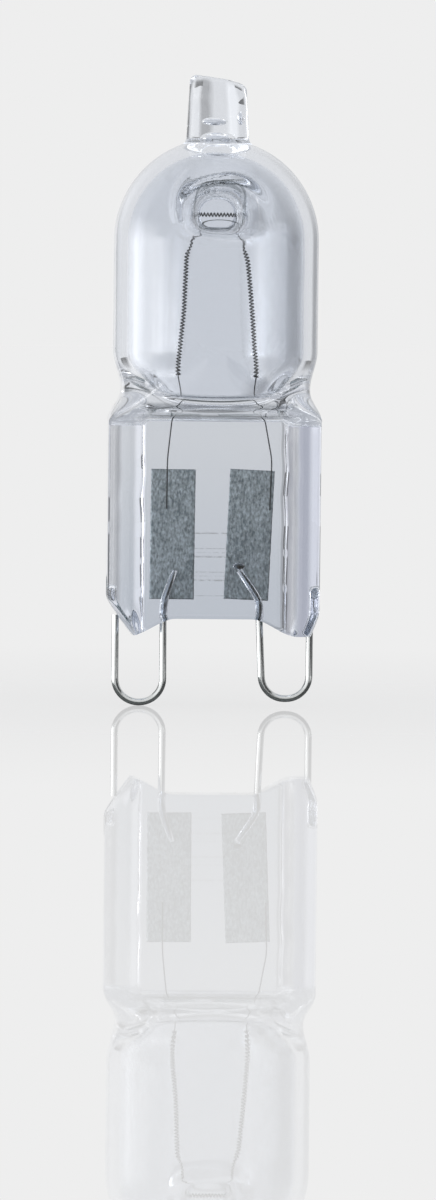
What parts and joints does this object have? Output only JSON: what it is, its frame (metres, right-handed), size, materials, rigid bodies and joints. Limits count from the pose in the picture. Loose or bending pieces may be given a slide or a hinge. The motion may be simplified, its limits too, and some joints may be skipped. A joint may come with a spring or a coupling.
{
  "type": "halogen capsule bulb",
  "caption": "Clear quartz halogen capsule bulb with a dented dome that grips its coiled filament, a flat pressed seal with foils inside, and wire-loop pins.",
  "frame": {"origin": "on the lamp's axis, level with the lowest point of the pin loops", "axes": "+Z along the lamp's axis from the pin loops to the exhaust tip, X across the width of the pinch, Y through its thickness"},
  "size_m": [0.0146, 0.014, 0.0432],
  "materials": {
    "quartz": "clear fire-polished quartz",
    "tungsten": "dull dark grey drawn wire",
    "molybdenum_foil": "mottled grey rolled foil under quartz",
    "pin_wire": "bright drawn wire"
  },
  "bodies": {
    "root": {"quartz_capsule": "quartz", "filament": "tungsten", "foil_left": "molybdenum_foil", "foil_right": "molybdenum_foil", "lead_left": "pin_wire", "lead_right": "pin_wire"}
  },
  "joints": []
}
